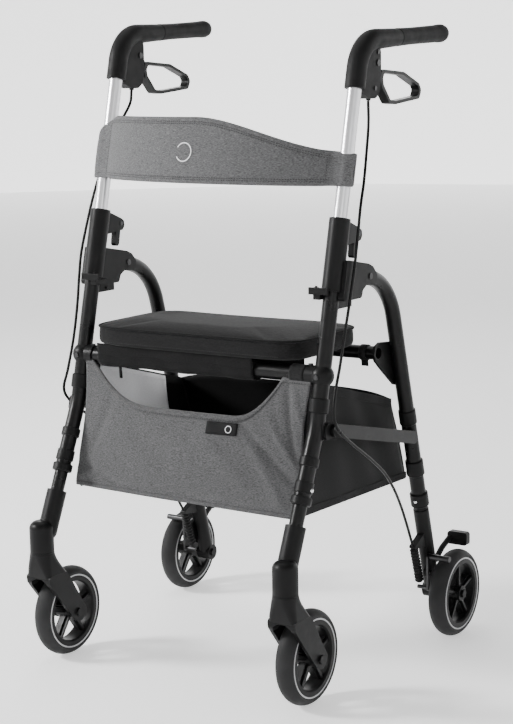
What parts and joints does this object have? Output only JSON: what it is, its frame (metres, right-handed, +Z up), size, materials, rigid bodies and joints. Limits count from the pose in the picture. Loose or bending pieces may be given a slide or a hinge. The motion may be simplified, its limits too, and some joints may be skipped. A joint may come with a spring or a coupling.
{
  "type": "rollator walker",
  "caption": "Four-wheeled folding walking frame with raised grips, loop brake levers, padded seat, fabric backrest, carrier bag, swivelling front casters and braked rear wheels.",
  "frame": {"origin": "on the floor, in the middle of the walker's footprint", "axes": "+Z up, -Y towards the front (the bag and the casters), +X to the user's right when they stand behind it"},
  "size_m": [0.6, 0.5704, 1.0568],
  "materials": {
    "satin_black": "satin black powder coat",
    "silver_tube": "clear anodised, satin",
    "black_plastic": "fine moulded texture",
    "grey_plastic": "fine moulded texture",
    "soft_grip": "soft matt",
    "boot_rubber": "ribbed matt",
    "tread": "solid polyurethane, dull",
    "steel": "zinc plated",
    "button_steel": "bright",
    "cable_sheath": "smooth black sheath",
    "seat_fabric": "coarse black weave",
    "bag_fabric": "grey melange weave",
    "back_fabric": "grey melange weave"
  },
  "bodies": {
    "front_frame": {"front_legs": "satin_black", "handle_sleeves": "black_plastic", "pivot_brackets": "black_plastic", "front_crossbar": "satin_black", "crossbar_connectors": "black_plastic", "front_collars": "black_plastic", "front_frame_screws": "satin_black", "bag": "bag_fabric", "brake_cables": "cable_sheath"},
    "backrest_band": {"backrest": "back_fabric"},
    "rear_frame": {"rear_legs": "satin_black", "rear_gussets": "black_plastic", "rear_crossbar": "satin_black", "rear_collars": "black_plastic"},
    "seat": {"seat_cushion": "seat_fabric"},
    "handle_left": {"handle_tube_left": "silver_tube", "handle_housing_left": "black_plastic", "grip_left": "soft_grip", "handle_screws_left": "steel"},
    "brake_lever_left": {"brake_lever_left": "grey_plastic"},
    "height_lever_left": {"height_lever_left": "black_plastic"},
    "fold_lock_left": {"fold_lock_left": "black_plastic"},
    "side_stay_left": {"side_stay_left": "satin_black"},
    "brake_arm_left": {"brake_arm_left": "grey_plastic"},
    "front_snap_left": {"front_snap_left": "button_steel"},
    "rear_snap_left": {"rear_snap_left": "button_steel"},
    "front_foot_left": {"front_leg_insert_left": "satin_black", "caster_head_left": "black_plastic"},
    "caster_left": {"caster_fork_left": "black_plastic"},
    "front_wheel_left": {"front_tyre_left": "tread", "front_rim_left": "black_plastic"},
    "rear_foot_left": {"rear_leg_insert_left": "satin_black", "rear_foot_left": "black_plastic", "brake_boot_left": "boot_rubber", "kerb_pedal_left": "black_plastic"},
    "rear_wheel_left": {"rear_tyre_left": "tread", "rear_rim_left": "black_plastic"},
    "handle_right": {"handle_tube_right": "silver_tube", "handle_housing_right": "black_plastic", "grip_right": "soft_grip", "handle_screws_right": "steel"},
    "brake_lever_right": {"brake_lever_right": "grey_plastic"},
    "height_lever_right": {"height_lever_right": "black_plastic"},
    "fold_lock_right": {"fold_lock_right": "black_plastic"},
    "side_stay_right": {"side_stay_right": "satin_black"},
    "brake_arm_right": {"brake_arm_right": "grey_plastic"},
    "front_snap_right": {"front_snap_right": "button_steel"},
    "rear_snap_right": {"rear_snap_right": "button_steel"},
    "front_foot_right": {"front_leg_insert_right": "satin_black", "caster_head_right": "black_plastic"},
    "caster_right": {"caster_fork_right": "black_plastic"},
    "front_wheel_right": {"front_tyre_right": "tread", "front_rim_right": "black_plastic"},
    "rear_foot_right": {"rear_leg_insert_right": "satin_black", "rear_foot_right": "black_plastic", "brake_boot_right": "boot_rubber", "kerb_pedal_right": "black_plastic"},
    "rear_wheel_right": {"rear_tyre_right": "tread", "rear_rim_right": "black_plastic"}
  },
  "joints": [
    {"name": "handle_left_slide", "type": "slide", "parent": "front_frame", "child": "handle_left", "axis": [0, 0.2329, 0.9725], "range_m": [-0.1, 0.02], "deforming": ["brake_cables"]},
    {"name": "handle_right_slide", "type": "slide", "parent": "front_frame", "child": "handle_right", "axis": [0, 0.2329, 0.9725], "range_m": [-0.1, 0.02]},
    {"name": "backrest_slide", "type": "slide", "parent": "front_frame", "child": "backrest_band", "axis": [0, 0.2329, 0.9725], "range_m": [-0.04, 0.008]},
    {"name": "brake_lever_left_pivot", "type": "hinge", "parent": "handle_left", "child": "brake_lever_left", "pos_m": [-0.232, 0.01896, 0.99445], "axis": [1, 0, 0], "range_deg": [0, 14], "stiffness_Nm_per_rad": 0.5},
    {"name": "height_lever_left_pivot", "type": "hinge", "parent": "front_frame", "child": "height_lever_left", "pos_m": [-0.232, -0.0487, 0.714], "axis": [1, 0, 0], "range_deg": [0, 100]},
    {"name": "fold_lock_left_pivot", "type": "hinge", "parent": "front_frame", "child": "fold_lock_left", "pos_m": [-0.214, -0.13383, 0.632], "axis": [0, 0, 1], "range_deg": [0, 14], "stiffness_Nm_per_rad": 0.3},
    {"name": "brake_lever_right_pivot", "type": "hinge", "parent": "handle_right", "child": "brake_lever_right", "pos_m": [0.232, 0.0143, 0.975], "axis": [1, 0, 0], "range_deg": [0, 14], "stiffness_Nm_per_rad": 0.5},
    {"name": "height_lever_right_pivot", "type": "hinge", "parent": "front_frame", "child": "height_lever_right", "pos_m": [0.232, -0.0487, 0.714], "axis": [1, 0, 0], "range_deg": [0, 100]},
    {"name": "fold_lock_right_pivot", "type": "hinge", "parent": "front_frame", "child": "fold_lock_right", "pos_m": [0.214, -0.13383, 0.632], "axis": [0, 0, -1], "range_deg": [0, 14], "stiffness_Nm_per_rad": 0.3},
    {"name": "frame_fold", "type": "hinge", "parent": "front_frame", "child": "rear_frame", "pos_m": [0, -0.0377, 0.647], "axis": [-1, 0, 0], "range_deg": [0, 23]},
    {"name": "seat_tip", "type": "hinge", "parent": "front_frame", "child": "seat", "pos_m": [0, -0.1477, 0.504], "axis": [1, 0, 0], "range_deg": [0, 70]},
    {"name": "side_stay_left_pivot", "type": "hinge", "parent": "front_frame", "child": "side_stay_left", "pos_m": [0, -0.1477, 0.421], "axis": [-1, 0, 0], "range_deg": [0, 20.93]},
    {"name": "front_foot_left_slide", "type": "slide", "parent": "front_frame", "child": "front_foot_left", "axis": [0, -0.4104, -0.9119], "range_m": [0, 0.05]},
    {"name": "caster_left_swivel", "type": "hinge", "parent": "front_foot_left", "child": "caster_left", "pos_m": [-0.236, -0.2677, 0.19], "axis": [0, 0, 1], "continuous": true},
    {"name": "front_wheel_left_spin", "type": "hinge", "parent": "caster_left", "child": "front_wheel_left", "pos_m": [-0.236, -0.2077, 0.075], "axis": [1, 0, 0], "continuous": true},
    {"name": "rear_foot_left_slide", "type": "slide", "parent": "rear_frame", "child": "rear_foot_left", "axis": [0, 0.2731, -0.962], "range_m": [0, 0.05]},
    {"name": "rear_wheel_left_spin", "type": "hinge", "parent": "rear_foot_left", "child": "rear_wheel_left", "pos_m": [-0.2803, 0.2077, 0.075], "axis": [1, 0, 0], "continuous": true},
    {"name": "brake_arm_left_pivot", "type": "hinge", "parent": "rear_foot_left", "child": "brake_arm_left", "pos_m": [-0.238, 0.1663, 0.116], "axis": [-1, 0, 0], "range_deg": [0, 9]},
    {"name": "front_snap_left_press", "type": "slide", "parent": "front_frame", "child": "front_snap_left", "axis": [1, 0, 0], "range_m": [0, 0.003], "stiffness_N_per_m": 400},
    {"name": "rear_snap_left_press", "type": "slide", "parent": "rear_frame", "child": "rear_snap_left", "axis": [0, 1, 0], "range_m": [0, 0.003], "stiffness_N_per_m": 400},
    {"name": "side_stay_right_pivot", "type": "hinge", "parent": "front_frame", "child": "side_stay_right", "pos_m": [0, -0.1477, 0.421], "axis": [-1, 0, 0], "range_deg": [0, 20.93]},
    {"name": "front_foot_right_slide", "type": "slide", "parent": "front_frame", "child": "front_foot_right", "axis": [0, -0.4104, -0.9119], "range_m": [0, 0.05]},
    {"name": "caster_right_swivel", "type": "hinge", "parent": "front_foot_right", "child": "caster_right", "pos_m": [0.236, -0.2677, 0.19], "axis": [0, 0, 1], "continuous": true},
    {"name": "front_wheel_right_spin", "type": "hinge", "parent": "caster_right", "child": "front_wheel_right", "pos_m": [0.236, -0.2077, 0.075], "axis": [1, 0, 0], "continuous": true},
    {"name": "rear_foot_right_slide", "type": "slide", "parent": "rear_frame", "child": "rear_foot_right", "axis": [0, 0.2731, -0.962], "range_m": [0, 0.05]},
    {"name": "rear_wheel_right_spin", "type": "hinge", "parent": "rear_foot_right", "child": "rear_wheel_right", "pos_m": [0.2803, 0.2077, 0.075], "axis": [1, 0, 0], "continuous": true},
    {"name": "brake_arm_right_pivot", "type": "hinge", "parent": "rear_foot_right", "child": "brake_arm_right", "pos_m": [0.238, 0.1663, 0.116], "axis": [-1, 0, 0], "range_deg": [0, 9]},
    {"name": "front_snap_right_press", "type": "slide", "parent": "front_frame", "child": "front_snap_right", "axis": [-1, 0, 0], "range_m": [0, 0.003], "stiffness_N_per_m": 400},
    {"name": "rear_snap_right_press", "type": "slide", "parent": "rear_frame", "child": "rear_snap_right", "axis": [0, 1, 0], "range_m": [0, 0.003], "stiffness_N_per_m": 400}
  ],
  "couplings": [
    {"joint": "handle_right_slide", "follows": "handle_left_slide", "ratio": 1},
    {"joint": "backrest_slide", "follows": "handle_left_slide", "ratio": 0.4},
    {"joint": "seat_tip", "follows": "frame_fold", "ratio": 3.043},
    {"joint": "side_stay_left_pivot", "follows": "frame_fold", "ratio": 0.91},
    {"joint": "brake_arm_left_pivot", "follows": "brake_lever_left_pivot", "ratio": 0.62},
    {"joint": "side_stay_right_pivot", "follows": "frame_fold", "ratio": 0.91},
    {"joint": "brake_arm_right_pivot", "follows": "brake_lever_right_pivot", "ratio": 0.62}
  ]
}
